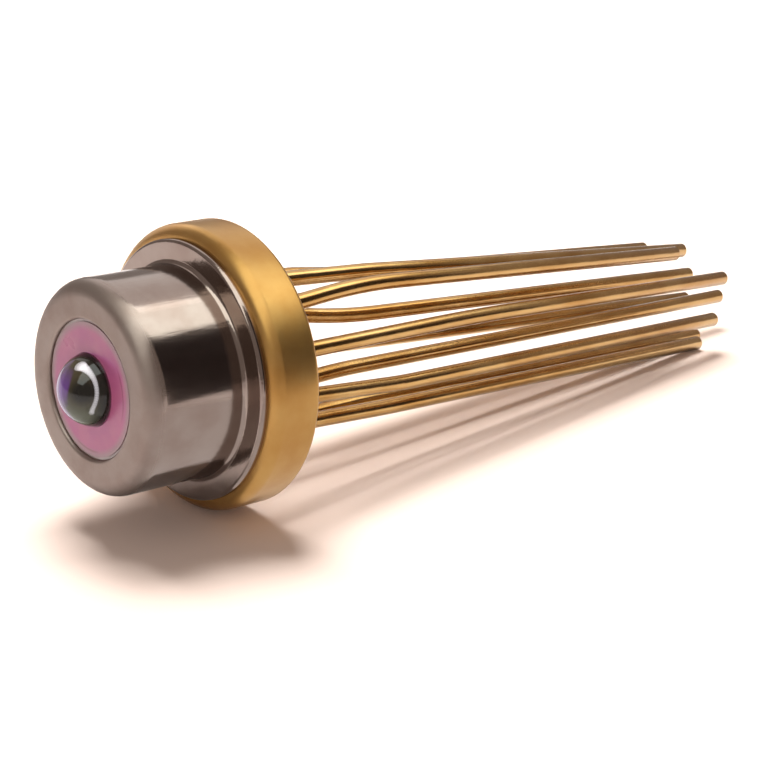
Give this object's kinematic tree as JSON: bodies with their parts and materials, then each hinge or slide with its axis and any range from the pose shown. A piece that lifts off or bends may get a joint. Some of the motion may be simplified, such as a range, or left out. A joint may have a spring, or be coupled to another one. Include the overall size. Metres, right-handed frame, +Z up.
{
  "type": "cooled laser diode in a lens-cap can",
  "caption": "Laser diode in a small round metal can: gold stem disc, nickel cap with a pink-coated domed lens, and long bent gold leads gathered behind it.",
  "frame": {"origin": "centre of the stem's flat rear face, on the optical axis", "axes": "+Z up from the table it lies on; the lens looks towards -Y with the optical axis raised 3.4 degrees; the leads run towards +Y; +X is to the right seen from the lens side"},
  "size_m": [0.0056, 0.0189, 0.0056],
  "materials": {
    "gold_stem": "satin gold plating on iron-nickel-cobalt alloy",
    "gold_lead": "drawn wire, gold plated, semi-bright",
    "nickel_cap": "satin nickel plating on drawn sheet",
    "lens_glass": "moulded glass with a pink anti-reflection coating",
    "seal_glass": "fired sealing glass, dark",
    "bead_glass": "dark compression-seal glass",
    "white_ceramic": "matt alumina",
    "block_gold": "gold plated copper-tungsten",
    "submount_ceramic": "metallised aluminium nitride",
    "chip_dark": "polished semiconductor",
    "photodiode_dark": "polished semiconductor",
    "thermistor_body": "matt",
    "wire_gold": "drawn gold wire"
  },
  "bodies": {
    "root": {"stem": "gold_stem", "lead_1": "gold_lead", "lead_2": "gold_lead", "lead_3": "gold_lead", "lead_4_case": "gold_lead", "lead_5": "gold_lead", "lead_6": "gold_lead", "lead_7": "gold_lead", "lead_8": "gold_lead", "lead_9": "gold_lead", "lead_10": "gold_lead", "glass_bead_1": "bead_glass", "glass_bead_2": "bead_glass", "glass_bead_3": "bead_glass", "glass_bead_5": "bead_glass", "glass_bead_6": "bead_glass", "glass_bead_7": "bead_glass", "glass_bead_8": "bead_glass", "glass_bead_9": "bead_glass", "glass_bead_10": "bead_glass", "cap": "nickel_cap", "lens": "lens_glass", "lens_seal": "seal_glass", "cooler_hot_plate": "white_ceramic", "cooler_cold_plate": "white_ceramic", "heat_sink_block": "block_gold", "submount": "submount_ceramic", "laser_chip": "chip_dark", "monitor_photodiode": "photodiode_dark", "thermistor": "thermistor_body", "bond_wire_1": "wire_gold", "bond_wire_2": "wire_gold", "bond_wire_3": "wire_gold", "bond_wire_5": "wire_gold", "bond_wire_6": "wire_gold", "bond_wire_7": "wire_gold", "bond_wire_8": "wire_gold", "bond_wire_9": "wire_gold", "bond_wire_10": "wire_gold"}
  },
  "joints": []
}
